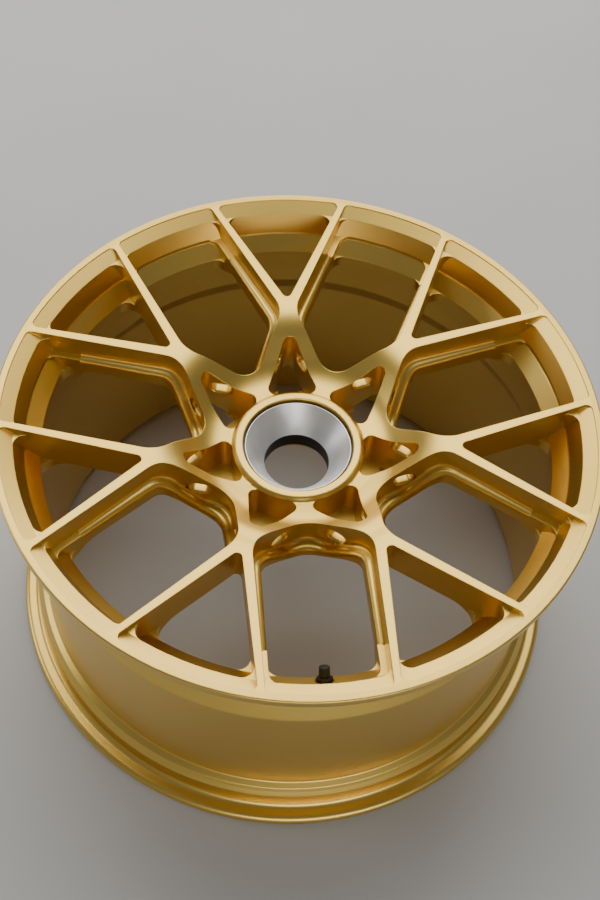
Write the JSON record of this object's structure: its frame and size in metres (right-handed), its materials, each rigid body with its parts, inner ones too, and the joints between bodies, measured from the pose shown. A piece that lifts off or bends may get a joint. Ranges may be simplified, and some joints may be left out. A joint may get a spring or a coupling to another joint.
{
  "type": "forged racing wheel rim",
  "caption": "Centre-lock forged wheel rim with paired thin spokes meeting in junctions, a deep barrel, a conical nut seat, drive pin bushes and a screw-capped valve.",
  "frame": {"origin": "on the wheel's axis, on the plane that the rear flange rests on", "axes": "+Z along the wheel's axis toward its outer face, +Y toward one spoke junction, the valve at -Y"},
  "size_m": [0.5938, 0.5936, 0.3175],
  "materials": {
    "gold_paint": "satin metallic gold paint over forged aluminium",
    "bare_aluminium": "fine turned, uncoated",
    "dark_anodised": "hard black anodised",
    "bush_steel": "ground, oiled",
    "spring_steel": "phosphated",
    "valve_alloy": "black anodised",
    "brass": "turned",
    "seal_rubber": "moulded"
  },
  "bodies": {
    "wheel": {"wheel_centre": "gold_paint", "rim_barrel": "gold_paint", "nut_seat_ring": "bare_aluminium", "seat_snap_ring": "spring_steel", "bore_sleeve": "dark_anodised", "drive_pin_bush_1": "bush_steel", "drive_pin_bush_2": "bush_steel", "drive_pin_bush_3": "bush_steel", "drive_pin_bush_4": "bush_steel", "drive_pin_bush_5": "bush_steel", "valve_stem": "valve_alloy", "valve_seal": "seal_rubber", "valve_washer": "valve_alloy", "valve_nut": "valve_alloy", "valve_core_body": "brass", "valve_core_gasket": "seal_rubber", "valve_core_spring": "spring_steel"},
    "core_pin": {"valve_core_pin": "brass", "valve_core_cup": "seal_rubber"},
    "cap_seal": {"valve_cap_seal": "seal_rubber"},
    "cap": {"valve_cap": "valve_alloy"}
  },
  "joints": [
    {"name": "core_pin_press", "type": "slide", "parent": "wheel", "child": "core_pin", "axis": [0, -0.692, -0.7219], "range_m": [0, 0.0015], "stiffness_N_per_m": 1500, "springref_m": -0.002, "deforming": ["valve_core_spring"]},
    {"name": "cap_travel", "type": "slide", "parent": "wheel", "child": "cap_seal", "axis": [0, 0.692, 0.7219], "range_m": [0, 0.00715]},
    {"name": "cap_turn", "type": "hinge", "parent": "cap_seal", "child": "cap", "pos_m": [0, -0.25431, 0.28491], "axis": [0, 0.692, 0.7219], "range_deg": [0, 3330]}
  ],
  "couplings": [
    {"joint": "cap_turn", "follows": "cap_travel", "rad_per_m": 7913.3}
  ]
}
